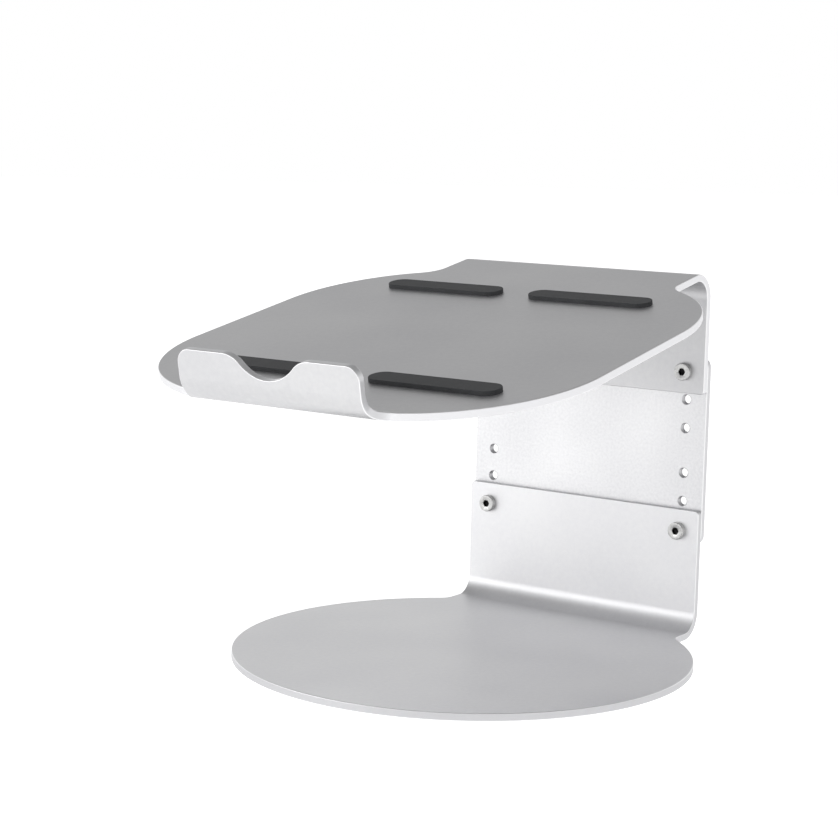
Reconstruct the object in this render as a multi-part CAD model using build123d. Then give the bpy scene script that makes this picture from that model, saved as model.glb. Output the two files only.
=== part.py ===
"""Laptop stand: three aluminium plates bolted together at the back, on silicone feet and pads.

Frame: +Z up, +X to the right as seen from the front, the upright at the back (+Y), millimetres.
The origin is the centre of the base disc, on the surface that the feet stand on.
Rest is the highest setting: both pairs of screws are in the outermost rows of the height plate.
"""

import os
from math import cos, radians, sin, sqrt

from build123d import *

# Sheet metal, shared by the three plates
SHEET = 3.5             # plate thickness
BEND_R = 9.0            # inner radius of every bend
ROOT_R = 8.0            # concave fillet where a tab grows out of a round plate
EDGE = 0.45             # chamfer broken on every cut edge
PLATE_W = 132.0         # width of the upright, the height plate and the tray's flange

# Base
DISC_R = 107.0          # radius of the base disc
UPRIGHT_INSET = 2.7     # front face of the upright, inside the disc's rear edge
UPRIGHT_CORNER_R = 2.0  # top corners of the upright, bottom corners of the flange

# Height plate and its screws
ROWS_PER_SET = 3        # tapped rows that each pair of screws can use
ROW_PITCH = 14.0        # one step of height
SET_GAP = 22.0          # between the lower set's top row and the upper set's bottom row
COLUMN_INSET = 11.0     # hole columns from the plates' side edges
SCREW_RISE = 48.2       # lower screws above the base disc's top face
SCREW_TO_EDGE = 10.5    # screws to the edge of the upright or of the flange
PLATE_END = 7.0         # last row to the height plate's end
PLATE_CORNER_R = 5.0    # corners of the height plate
HOLE_CHAMFER = 0.5      # mouth of a tapped hole

# M5 low-head socket screws
THREAD_D = 5.0
TAPPED_D = 4.2          # bore of a tapped hole
CLEAR_D = 5.5           # clearance hole
HEAD_D = 8.5
HEAD_H = 2.6
HEAD_CHAMFER = 0.4
SOCKET_AF = 3.0         # hex socket, across flats
SOCKET_DEPTH = 1.8
SHANK_GAP = 0.3         # shank end to the sliding plate, so that the plate can pass it

# Tray
TRAY_TILT = 11.0        # slope, down to the front, in degrees
TRAY_RISE = 60.4        # tray's top plane above the flange's bottom edge, at the flange's front face
TRAY_L = 250.0          # flange's front face to the lip's inner face, along the slope
TRAY_W = 214.0          # width of the round plate
TRAY_DEPTH = 214.0      # front edge to rear edge of the round plate
TRAY_CORNER_R = 72.0    # its four large corners
TRAY_SETBACK = 5.0      # its front edge behind the lip's inner face
NECK_R = 14.0           # concave fillet between the round plate and its neck

# Lip
LIP_W = 93.4
LIP_H = 21.1            # above the tray's top plane
LIP_CORNER_R = 6.5
NOTCH_DEPTH = 9.8       # finger notch in the lip's top edge
NOTCH_R = 18.5          # its hollow
NOTCH_EDGE_R = 12.0     # its rounded shoulders

# Silicone feet and pads
FOOT_T = 1.0
RIM_FOOT_D = 20.0
CENTRE_FOOT_D = 30.0
FOOT_INSET = 19.0       # rim feet's centres from the disc's edge
PAD_EDGE_R = 0.3        # rounding of every silicone edge
TRAY_PAD_L = 64.0
TRAY_PAD_W = 12.0
TRAY_PAD_T = 2.0
FRONT_PAD_X = 48.0      # front pads' centres from the middle
FRONT_PAD_INSET = 44.0  # front pads' centres behind the lip's inner face
REAR_PAD_X = 40.0
REAR_PAD_INSET = 182.0
LIP_PAD_W = 22.0
LIP_PAD_H = 8.6
LIP_PAD_T = 1.5
LIP_PAD_X = 33.0        # lip pads' centres from the middle
LIP_PAD_GAP = 1.4       # bend's end to the pad's lower edge
LIP_PAD_CORNER_R = 3.0

# Heights and places that follow
HALF_W = PLATE_W / 2
UPRIGHT_Y = DISC_R - UPRIGHT_INSET
DISC_TOP = FOOT_T + SHEET
PLATE_Y = UPRIGHT_Y + SHEET
COLUMN_X = HALF_W - COLUMN_INSET
LOWER_SCREW_Z = DISC_TOP + SCREW_RISE
SET_SPAN = (ROWS_PER_SET - 1) * ROW_PITCH
UPPER_SCREW_Z = LOWER_SCREW_Z + 2 * SET_SPAN + SET_GAP
UPRIGHT_TOP = LOWER_SCREW_Z + SCREW_TO_EDGE
FLANGE_BOTTOM = UPPER_SCREW_Z - SCREW_TO_EDGE
PLATE_BOTTOM = LOWER_SCREW_Z - PLATE_END
PLATE_TOP = UPPER_SCREW_Z + PLATE_END
OUTER_R = BEND_R + SHEET
HALF_LIP = LIP_W / 2
LAP = 1.0               # spare length of a flat run or a cutter, fused or trimmed away
LIP_BEND_Y = -TRAY_L + BEND_R
ROOT_Z = BEND_R - sqrt(BEND_R**2 - (BEND_R - TRAY_SETBACK) ** 2)

# The tray's own frame: X across, Y up the slope, Z out of the tray. Its origin is where the tray's
# top plane meets the flange's front face.
TRAY = Location((0, UPRIGHT_Y, FLANGE_BOTTOM + TRAY_RISE), (TRAY_TILT, 0, 0))
SIDES = {"left": -1, "right": 1}


def side_profile(points: list, rounds: dict) -> Face:
    """Closed profile in the YZ plane. rounds maps a point's place in the list to its radius."""
    wire = Polyline(*[(0, y, z) for y, z in points], close=True)
    face = make_face(wire).face()
    for index, radius in rounds.items():
        y, z = points[index]
        corner = face.vertices().sort_by_distance((0, y, z))[0]
        face = face.fillet_2d(radius, [corner])
    return face


def across(face: Face, width: float) -> Part:
    """A side profile extruded evenly to both sides of the middle."""
    return extrude(face, amount=width / 2, dir=(1, 0, 0), both=True)


def front_cutter(sketch: Sketch, y_from: float, y_to: float) -> Part:
    """A sketch drawn as seen from the front, X across and Z up, as a solid between two depths."""
    placed = Plane(origin=(0, y_to, 0), x_dir=(1, 0, 0), z_dir=(0, -1, 0)) * sketch
    return extrude(placed, amount=y_to - y_from)


def is_crease(part: Part, edge: Edge, faces: list) -> bool:
    """True where two faces meet at a real angle along the edge, and not in a smooth run."""
    middle = edge.position_at(0.5)
    beside = [f for f in faces if any(e.is_same(edge) for e in f.edges())]
    if len(beside) != 2:
        return False
    turn = beside[0].normal_at(middle).get_angle(beside[1].normal_at(middle))
    return turn > 20


def break_edges(part: Part, size: float, skip=lambda edge: False) -> Part:
    """Chamfers every crease of a sheet, apart from those that skip names."""
    faces = list(part.faces())
    edges = [e for e in part.edges() if is_crease(part, e, faces) and not skip(e)]
    return part.chamfer(size, None, edges)


def screw_holes(z: float, diameter: float, y_from: float, y_to: float) -> Part:
    """Two round cutters, one in each column, at one height."""
    cutters = Part()
    for side in SIDES.values():
        place = Location((side * COLUMN_X, y_to, z), (90, 0, 0))
        low = (Align.CENTER, Align.CENTER, Align.MIN)
        cutters += place * Cylinder(diameter / 2, y_to - y_from, align=low)
    return cutters


def base_frame() -> Part:
    """Round disc, short neck, bend and upright, from one sheet."""
    bend_y = UPRIGHT_Y - BEND_R
    behind = Location((0, bend_y)) * Rectangle(2 * DISC_R, DISC_R, align=(Align.CENTER, Align.MIN))
    neck = Rectangle(PLATE_W, bend_y, align=(Align.CENTER, Align.MIN))
    outline = Circle(DISC_R) - behind + neck
    roots = outline.vertices().filter_by(lambda v: DISC_R / 2 < v.Y < bend_y - 1)
    outline = fillet(roots, ROOT_R)
    disc = Location((0, 0, FOOT_T)) * extrude(outline, amount=SHEET)
    profile = side_profile(
        [
            (bend_y - LAP, FOOT_T),
            (PLATE_Y, FOOT_T),
            (PLATE_Y, UPRIGHT_TOP),
            (UPRIGHT_Y, UPRIGHT_TOP),
            (UPRIGHT_Y, DISC_TOP),
            (bend_y - LAP, DISC_TOP),
        ],
        {1: OUTER_R, 4: BEND_R},
    )
    upright = across(profile, PLATE_W)
    corners = upright.edges().filter_by(Axis.Y).group_by(Axis.Z)[-1]
    upright = upright.fillet(UPRIGHT_CORNER_R, corners)
    frame = (disc + upright).clean()
    frame = break_edges(frame, EDGE)
    return frame - screw_holes(LOWER_SCREW_Z, CLEAR_D, UPRIGHT_Y - LAP, PLATE_Y + LAP)


def row_heights() -> list:
    """Heights of the height plate's six rows of holes, lowest first."""
    lower = [LOWER_SCREW_Z + i * ROW_PITCH for i in range(ROWS_PER_SET)]
    upper = [UPPER_SCREW_Z - i * ROW_PITCH for i in reversed(range(ROWS_PER_SET))]
    return lower + upper


def height_plate() -> Part:
    """Flat plate behind the upright and the flange, tapped in two columns."""
    height = PLATE_TOP - PLATE_BOTTOM
    outline = Location((0, PLATE_BOTTOM + height / 2)) * RectangleRounded(PLATE_W, height, PLATE_CORNER_R)
    plate = front_cutter(outline, PLATE_Y, PLATE_Y + SHEET)
    plate = break_edges(plate, EDGE)
    for z in row_heights():
        plate -= screw_holes(z, TAPPED_D, PLATE_Y - LAP, PLATE_Y + SHEET + LAP)
    mouths = plate.edges().filter_by(GeomType.CIRCLE).filter_by(lambda e: abs(e.radius - TAPPED_D / 2) < 0.01)
    return plate.chamfer(HOLE_CHAMFER, None, mouths)


def tray_outline() -> Sketch:
    """The tray's flat outline in its own frame: a plate with large round corners, and its neck."""
    rear = TRAY_L - TRAY_SETBACK - TRAY_DEPTH
    plate = Location((0, -rear - TRAY_DEPTH / 2)) * RectangleRounded(TRAY_W, TRAY_DEPTH, TRAY_CORNER_R)
    neck_start = OUTER_R * 1.5
    neck_l = rear + TRAY_CORNER_R - neck_start
    neck = Location((0, -neck_start)) * Rectangle(PLATE_W, neck_l, align=(Align.CENTER, Align.MAX))
    outline = plate + neck
    joins = outline.vertices().filter_by(
        lambda v: abs(abs(v.X) - HALF_W) < 0.01 and -rear - TRAY_CORNER_R < v.Y < -rear
    )
    return fillet(joins, NECK_R)


def tray_rear() -> Part:
    """Flange and its bend, up to where the neck is flat."""
    tilt = radians(TRAY_TILT)
    reach = OUTER_R * 2

    def on_slope(y: float, drop: float) -> tuple:
        """A point that many millimetres behind the tray's origin and below its top plane."""
        top = FLANGE_BOTTOM + TRAY_RISE
        return (UPRIGHT_Y + y * cos(tilt) + drop * sin(tilt), top + y * sin(tilt) - drop * cos(tilt))

    def height_at(y: float, drop: float) -> float:
        """Height of the tray's top plane, or of one below it, straight above y."""
        return FLANGE_BOTTOM + TRAY_RISE + (y - UPRIGHT_Y) * sin(tilt) / cos(tilt) - drop / cos(tilt)

    profile = side_profile(
        [
            (PLATE_Y, FLANGE_BOTTOM),
            (PLATE_Y, height_at(PLATE_Y, 0)),
            on_slope(-reach, 0),
            on_slope(-reach, SHEET),
            (UPRIGHT_Y, height_at(UPRIGHT_Y, SHEET)),
            (UPRIGHT_Y, FLANGE_BOTTOM),
        ],
        {1: OUTER_R, 4: BEND_R},
    )
    rear = across(profile, PLATE_W)
    corners = rear.edges().filter_by(Axis.Y).group_by(Axis.Z)[0]
    return rear.fillet(UPRIGHT_CORNER_R, corners)


def lip_front_view() -> Sketch:
    """The lip as seen along the slope: humps, notch, and roots that widen into the tray."""
    half_notch = sqrt((NOTCH_R + NOTCH_EDGE_R) ** 2 - (NOTCH_R + NOTCH_EDGE_R - NOTCH_DEPTH) ** 2)
    below = SHEET * 2
    body = Location((0, LIP_H)) * Rectangle(LIP_W, LIP_H + below, align=(Align.CENTER, Align.MAX))
    corners = body.vertices().group_by(Axis.Y)[-1]
    body = fillet(corners, LIP_CORNER_R)
    root_w = LIP_W + 2 * ROOT_R
    foot = Location((0, ROOT_Z + ROOT_R)) * Rectangle(root_w, ROOT_R, align=(Align.CENTER, Align.MAX))
    for side in SIDES.values():
        foot -= Location((side * (HALF_LIP + ROOT_R), ROOT_Z + ROOT_R)) * Circle(ROOT_R)
    base = Location((0, ROOT_Z)) * Rectangle(TRAY_W, ROOT_Z + below, align=(Align.CENTER, Align.MAX))
    meet = half_notch * NOTCH_R / (NOTCH_R + NOTCH_EDGE_R)
    wedge = Rectangle(2 * half_notch, NOTCH_DEPTH + LAP, align=(Align.CENTER, Align.MAX))
    wedge = Location((0, LIP_H)) * wedge
    for side in SIDES.values():
        wedge -= Location((side * half_notch, LIP_H - NOTCH_EDGE_R)) * Circle(NOTCH_EDGE_R)
    hollow = Location((0, LIP_H - NOTCH_DEPTH + NOTCH_R)) * Circle(NOTCH_R)
    joint_z = LIP_H - NOTCH_DEPTH + NOTCH_R - sqrt(NOTCH_R**2 - meet**2)
    upper = Location((0, joint_z)) * Rectangle(2 * half_notch, LIP_H, align=(Align.CENTER, Align.MIN))
    lower = Location((0, joint_z)) * Rectangle(2 * meet, NOTCH_R, align=(Align.CENTER, Align.MAX))
    notch = (upper & wedge) + (lower & hollow)
    return body + foot + base - notch


def lip_plan_view() -> Sketch:
    """The bent zone seen from above the tray: the plate's front and the lip's tab, with its roots."""
    tab_l = SHEET + TRAY_SETBACK + BEND_R
    tab = Location((0, -TRAY_L - SHEET)) * Rectangle(LIP_W, tab_l, align=(Align.CENTER, Align.MIN))
    outline = tray_outline() + tab
    joins = outline.vertices().filter_by(
        lambda v: abs(abs(v.X) - HALF_LIP) < 0.01 and v.Y > -TRAY_L - SHEET / 2
    )
    return fillet(joins, ROOT_R)


def tray_lip() -> Part:
    """Lip and its bend in the tray's frame."""
    profile = side_profile(
        [
            (LIP_BEND_Y + LAP, 0),
            (-TRAY_L, 0),
            (-TRAY_L, LIP_H),
            (-TRAY_L - SHEET, LIP_H),
            (-TRAY_L - SHEET, -SHEET),
            (LIP_BEND_Y + LAP, -SHEET),
        ],
        {1: BEND_R, 4: OUTER_R},
    )
    sheet = across(profile, TRAY_W)
    seen_in_front = front_cutter(lip_front_view(), -TRAY_L - SHEET - LAP, LIP_BEND_Y)
    seen_above = Location((0, 0, -SHEET - 1)) * extrude(lip_plan_view(), amount=SHEET + LIP_H + 2)
    return sheet & seen_in_front & seen_above


def tray_frame() -> Part:
    """Flange, neck, tray and lip, from one sheet."""
    bent = Location((0, LIP_BEND_Y)) * Rectangle(2 * TRAY_W, TRAY_L, align=(Align.CENTER, Align.MAX))
    plate = Location((0, 0, -SHEET)) * extrude(tray_outline() - bent, amount=SHEET)
    frame = (TRAY * plate + tray_rear()).clean()

    def at_lip(edge: Edge) -> bool:
        """True for the edges where the lip's bend starts."""
        return (TRAY.inverse() * Pos(edge.center())).position.Y < LIP_BEND_Y + 0.01

    frame = break_edges(frame, EDGE, at_lip)
    frame = frame + TRAY * tray_lip()
    return frame - screw_holes(UPPER_SCREW_Z, CLEAR_D, UPRIGHT_Y - LAP, PLATE_Y + LAP)


def screw(side: int, z: float) -> Part:
    """Low-head socket screw, its head against the front face of the upright or the flange."""
    low = (Align.CENTER, Align.CENTER, Align.MIN)
    high = (Align.CENTER, Align.CENTER, Align.MAX)
    head = Cylinder(HEAD_D / 2, HEAD_H, align=low)
    rim = head.edges().group_by(Axis.Z)[-1]
    head = head.chamfer(HEAD_CHAMFER, None, rim)
    socket = Location((0, 0, HEAD_H - SOCKET_DEPTH)) * extrude(
        RegularPolygon(SOCKET_AF / 2, 6, major_radius=False), amount=SOCKET_DEPTH
    )
    shank = Cylinder(THREAD_D / 2, SHEET - SHANK_GAP, align=high)
    return Location((side * COLUMN_X, UPRIGHT_Y, z), (90, 0, 0)) * (head - socket + shank)


def foot(diameter: float, x: float, y: float) -> Part:
    """Round silicone foot under the base disc."""
    body = Cylinder(diameter / 2, FOOT_T, align=(Align.CENTER, Align.CENTER, Align.MIN))
    body = body.fillet(PAD_EDGE_R, body.edges().group_by(Axis.Z)[0])
    return Location((x, y, 0)) * body


def feet() -> dict:
    """The centre foot and five feet spread evenly round the rim."""
    made = {"foot_centre": foot(CENTRE_FOOT_D, 0, 0)}
    names = ["foot_front", "foot_front_right", "foot_rear_right", "foot_rear_left", "foot_front_left"]
    for index, name in enumerate(names):
        angle = radians(-90 + index * 360 / len(names))
        reach = DISC_R - FOOT_INSET
        made[name] = foot(RIM_FOOT_D, reach * cos(angle), reach * sin(angle))
    return made


def tray_pad(x: float, inset: float) -> Part:
    """Silicone strip on the tray, its centre that far behind the lip's inner face."""
    strip = extrude(SlotOverall(TRAY_PAD_L, TRAY_PAD_W), amount=TRAY_PAD_T)
    strip = strip.fillet(PAD_EDGE_R, strip.edges().group_by(Axis.Z)[-1])
    return TRAY * Location((x, -TRAY_L + inset, 0)) * strip


def lip_pad(side: int) -> Part:
    """Silicone pad on the inner face of one hump of the lip."""
    middle = BEND_R + LIP_PAD_GAP + LIP_PAD_H / 2
    outline = Location((side * LIP_PAD_X, middle)) * RectangleRounded(LIP_PAD_W, LIP_PAD_H, LIP_PAD_CORNER_R)
    pad = front_cutter(outline, -TRAY_L, -TRAY_L + LIP_PAD_T)
    pad = pad.fillet(PAD_EDGE_R, pad.edges().group_by(Axis.Y)[-1])
    return TRAY * pad


def build() -> dict:
    """Every node's solid, by name."""
    parts = {
        "base_frame": base_frame(),
        "height_plate": height_plate(),
        "tray_frame": tray_frame(),
    }
    for name, side in SIDES.items():
        parts[f"lower_screw_{name}"] = screw(side, LOWER_SCREW_Z)
        parts[f"upper_screw_{name}"] = screw(side, UPPER_SCREW_Z)
        parts[f"tray_pad_front_{name}"] = tray_pad(side * FRONT_PAD_X, FRONT_PAD_INSET)
        parts[f"tray_pad_rear_{name}"] = tray_pad(side * REAR_PAD_X, REAR_PAD_INSET)
        parts[f"lip_pad_{name}"] = lip_pad(side)
    parts.update(feet())
    return parts


os.makedirs("parts", exist_ok=True)
for node, solid in build().items():
    export_step(solid, f"parts/{node}.step")
    box = solid.bounding_box()
    spans = f"y {box.min.Y:.1f}..{box.max.Y:.1f}, z {box.min.Z:.1f}..{box.max.Z:.1f}"
    print(f"{node}: {solid.volume:.0f} mm3, {spans}")
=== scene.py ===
"""Laptop stand in bent sheet aluminium: its looks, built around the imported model.

Lengths in the classes are millimetres, as a maker's drawing gives them. Meshes are in metres.
"""

from __future__ import annotations

import logging
from dataclasses import dataclass, field
from enum import Enum
from math import acos, atan2, ceil, cos, degrees, pi, radians, sin, sqrt, tan
from typing import Any

import bpy
import numpy as np
from bpy.types import Material, Node, NodeSocket, NodeTree, Object
from mathutils import Matrix, Vector
from mathutils.geometry import delaunay_2d_cdt


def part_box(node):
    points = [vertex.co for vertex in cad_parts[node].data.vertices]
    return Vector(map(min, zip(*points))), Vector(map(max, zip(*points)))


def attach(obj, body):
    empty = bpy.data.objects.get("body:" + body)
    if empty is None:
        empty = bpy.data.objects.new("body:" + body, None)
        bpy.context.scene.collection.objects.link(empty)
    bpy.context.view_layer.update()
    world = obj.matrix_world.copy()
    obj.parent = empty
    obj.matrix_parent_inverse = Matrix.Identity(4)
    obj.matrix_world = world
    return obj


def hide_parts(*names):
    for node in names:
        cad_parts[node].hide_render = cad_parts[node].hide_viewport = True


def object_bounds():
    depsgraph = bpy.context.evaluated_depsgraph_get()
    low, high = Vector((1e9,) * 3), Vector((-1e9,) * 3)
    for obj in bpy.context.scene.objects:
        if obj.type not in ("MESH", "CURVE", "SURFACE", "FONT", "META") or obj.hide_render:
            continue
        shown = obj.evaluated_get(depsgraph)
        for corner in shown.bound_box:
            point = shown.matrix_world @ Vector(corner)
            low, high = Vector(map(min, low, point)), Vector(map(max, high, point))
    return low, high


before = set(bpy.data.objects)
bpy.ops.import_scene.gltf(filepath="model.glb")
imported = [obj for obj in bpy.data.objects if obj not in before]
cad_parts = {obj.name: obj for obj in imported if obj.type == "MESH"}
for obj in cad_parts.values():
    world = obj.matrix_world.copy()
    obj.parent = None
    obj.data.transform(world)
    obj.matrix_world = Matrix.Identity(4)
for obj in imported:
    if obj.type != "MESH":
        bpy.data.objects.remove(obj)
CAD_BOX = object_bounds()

LOG = logging.getLogger("laptop_stand")
Pair = tuple[float, float]
Rings = tuple[list[np.ndarray], list[np.ndarray], list[Pair]]  # rings, their normals, edge polish with painted highlight, and cut sides with painted light and shade
MM = 0.001
CURVE_ERROR = 0.004  # mm that a drawn arc may stray from a true one
LARGEST_STEP = 7.5  # degrees between points of a small arc
ROW_STEP = 0.7  # mm between the rows of points that divide a bend
ROW_END_GAP = 0.05  # mm from a straight edge's ends to the first row that counts
SHARP_ANGLE = 35  # degrees between faces that still shade smoothly
# Rounded edges: smoother polish, and a painted highlight in the colour.
EDGE_POLISH_AND_HIGHLIGHT = "edge_wear"
# Cut sides: painted shade where their colour is darker than the faces, painted light where paler.
CUT_SIDE_PAINTED_SHADE_AND_LIGHT = "cut_edge"
# Screw sockets: painted shade.
SOCKET_PAINTED_SHADE = "socket_painted_shade"
SAME_PLACE = 1e-4  # mm between points that count as one
WAVES_PER_SCALE = 20  # what a wave texture draws per unit of its scale
RIM_POINTS = 96  # round the table and the surround


class Side(Enum):
    """The two sides of the stand, as seen from the front."""

    LEFT = -1
    RIGHT = 1

    @property
    def word(self) -> str:
        """The side's name as the nodes spell it."""
        return self.name.lower()


class Slot(Enum):
    """The record's material slots."""

    BASE = "base_aluminium"
    PLATE = "plate_aluminium"
    TRAY = "tray_aluminium"
    SCREW = "screw_steel"
    SILICONE = "silicone"


# Shapes ----------------------------------------------------------------------------------------


@dataclass(frozen=True)
class Run:
    """One stretch of a sheet's side path: straight where turn is 0, and otherwise a bend.

    Attributes:
        length: Length along the sheet's reference face.
        turn: Degrees turned over that length, positive to the left of the heading.
    """

    length: float
    turn: float = 0.0


@dataclass
class SheetPath:
    """Side view of a bent sheet's reference face, in the YZ plane.

    Attributes:
        start: Where the reference face starts, as (y, z).
        heading: Its direction there in degrees, from +Y towards +Z.
        thick_side: 1 where the metal lies left of the heading, and -1 where it lies right.
        runs: The stretches, in order.
    """

    start: Pair
    heading: float
    thick_side: int
    runs: list[Run] = field(default_factory=list)

    def frames(self, along: np.ndarray) -> tuple[np.ndarray, np.ndarray]:
        """Finds the reference face and the heading at each distance along the sheet.

        Args:
            along: Distances from the start.

        Returns:
            The points as (y, z) rows, and the headings in radians.
        """
        points = np.zeros((len(along), 2))
        headings = np.zeros(len(along))
        origin, heading, station = np.array(self.start, float), radians(self.heading), 0.0
        runs = self.runs or [Run(1.0)]
        for index, run in enumerate(runs):
            here = along >= station if index else np.ones(len(along), bool)
            beyond = along[here] - station
            points[here], headings[here] = self._follow(run, origin, heading, beyond)
            end, turned = self._follow(run, origin, heading, np.array([run.length]))
            origin, heading, station = end[0], float(turned[0]), station + run.length
        return points, headings

    @staticmethod
    def _follow(
        run: Run, origin: np.ndarray, heading: float, beyond: np.ndarray
    ) -> tuple[np.ndarray, np.ndarray]:
        """Follows one run.

        Args:
            run: The stretch.
            origin: Its first point.
            heading: Its first heading in radians.
            beyond: Distances past its first point.

        Returns:
            The points as (y, z) rows, and the headings in radians.
        """
        if not run.turn:
            return origin + np.outer(beyond, (cos(heading), sin(heading))), np.full(len(beyond), heading)
        turned = heading + radians(run.turn) * beyond / run.length
        radius = run.length / radians(run.turn)
        centre = origin + radius * np.array((-sin(heading), cos(heading)))
        return centre - radius * np.stack((-np.sin(turned), np.cos(turned)), 1), turned

    def place(self, flat: np.ndarray, directions: np.ndarray) -> tuple[np.ndarray, np.ndarray]:
        """Bends points of the flat pattern into space.

        Args:
            flat: Rows of (across, along, depth below the reference face).
            directions: Rows of normals in the same three directions.

        Returns:
            The points and the normals in space.
        """
        points, headings = self.frames(flat[:, 1])
        ahead = np.stack((np.zeros(len(flat)), np.cos(headings), np.sin(headings)), 1)
        inward = self.thick_side * np.stack((np.zeros(len(flat)), -np.sin(headings), np.cos(headings)), 1)
        space = np.column_stack((flat[:, 0], points)) + inward * flat[:, 2:]
        normals = ahead * directions[:, 1:2] + inward * directions[:, 2:]
        normals[:, 0] = directions[:, 0]
        return space, normals

    def bend_rows(self) -> list[float]:
        """Distances along the sheet at which its bends are divided."""
        rows, station = [], 0.0
        for run in self.runs:
            if run.turn:
                count = ceil(run.length / ROW_STEP)
                rows += [station + run.length * k / count for k in range(count + 1)]
            station += run.length
        return rows


class Outline:
    """One closed edge of a flat pattern, walked with the metal on its left."""

    def __init__(self) -> None:
        """Starts with no points."""
        self.points: list[Pair] = []
        self.normals: list[Pair] = []

    def arc(self, centre: Pair, radius: float, start: float, end: float) -> Outline:
        """Adds an arc: convex where it turns left, and a hollow where it turns right.

        Args:
            centre: The arc's centre.
            radius: Its radius.
            start: Where it starts, in degrees.
            end: Where it ends, in degrees.

        Returns:
            This outline.
        """
        step = min(degrees(2 * acos(1 - CURVE_ERROR / radius)), LARGEST_STEP)
        count = max(2, ceil(abs(end - start) / step))
        out = 1 if end > start else -1
        for k in range(count + 1):
            angle = radians(start + (end - start) * k / count)
            self._add(
                (centre[0] + radius * cos(angle), centre[1] + radius * sin(angle)),
                (out * cos(angle), out * sin(angle)),
            )
        return self

    def climb(self, to: float, rows: list[float]) -> Outline:
        """Goes straight along the sheet to a distance, with a point on each row that it crosses."""
        (across, start), normal = self.points[-1], self.normals[-1]
        low, high = sorted((start, to))
        crossed = [row for row in rows if low + ROW_END_GAP < row < high - ROW_END_GAP]
        for row in sorted(crossed, reverse=to < start) + [to]:
            self._add((across, row), normal)
        return self

    def _add(self, point: Pair, normal: Pair) -> None:
        """Adds a point, unless the outline is there already."""
        if not self.points or max(abs(a - b) for a, b in zip(self.points[-1], point)) > SAME_PLACE:
            self.points.append(point)
            self.normals.append(normal)

    def mirrored(self) -> Outline:
        """The whole outline, from a right half that starts and ends on the middle line."""
        whole = Outline()
        whole.points = list(self.points)
        whole.normals = list(self.normals)
        for (across, along), (n_across, n_along) in zip(reversed(self.points), reversed(self.normals)):
            if across > 1e-6:
                whole.points.append((-across, along))
                whole.normals.append((-n_across, n_along))
        return whole

    @classmethod
    def round_hole(cls, centre: Pair, radius: float) -> Outline:
        """A round hole, walked with the metal outside it."""
        hole = cls().arc(centre, radius, 360, 0)
        hole.points.pop()
        hole.normals.pop()
        return hole


@dataclass(frozen=True)
class Thread:
    """Coarse metric thread. Its helix is set by depth alone, so that a screw and its hole match."""

    pitch: float = 0.8
    crest_r: float = 2.5
    root_r: float = 2.1
    flat: float = 0.125  # share of the pitch that is flat at crest and root

    def radius(self, angles: np.ndarray, depth: float) -> np.ndarray:
        """The thread's radius at each angle, at one depth along its axis."""
        phase = (depth / self.pitch + angles / (2 * pi)) % 1
        climb = np.clip((np.abs(2 * phase - 1) - self.flat) / (1 - 2 * self.flat), 0, 1)
        return self.root_r + (self.crest_r - self.root_r) * climb


def covers(loop: np.ndarray, points: np.ndarray) -> np.ndarray:
    """Tells which points lie inside a closed loop.

    Args:
        loop: The loop's corners in the flat.
        points: Points in the flat.

    Returns:
        True for each point inside.
    """
    x, y = points[:, :1], points[:, 1:]
    x0, y0 = loop.T
    x1, y1 = np.roll(loop, -1, axis=0).T
    spans = (y0 > y) != (y1 > y)
    rise = np.where(y1 == y0, 1e-12, y1 - y0)
    return (spans & (x < (x1 - x0) * (y - y0) / rise + x0)).sum(1) % 2 == 1


def into_object(name: str, verts: np.ndarray, faces: list, normals: np.ndarray | None = None) -> Object:
    """Makes a smooth-shaded object of points in millimetres.

    Args:
        name: The object's name.
        verts: Its points.
        faces: Its faces, as lists of point numbers.
        normals: A normal for each point, zero where Blender works it out.

    Returns:
        The object, linked to the scene.
    """
    mesh = bpy.data.meshes.new(name)
    mesh.from_pydata((verts * MM).tolist(), [], faces)
    mesh.validate()
    mesh.shade_smooth()
    if normals is None:
        mesh.set_sharp_from_angle(angle=radians(SHARP_ANGLE))
    else:
        mesh.normals_split_custom_set_from_vertices(normals.tolist())
    obj = bpy.data.objects.new(name, mesh)
    bpy.context.scene.collection.objects.link(obj)
    return obj


def mark(obj: Object, name: str, values: np.ndarray) -> None:
    """Gives each point of an object a value that its finish reads by name."""
    attribute = obj.data.attributes.new(name, "FLOAT", "POINT")
    attribute.data.foreach_set("value", values.astype(np.float32))


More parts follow.
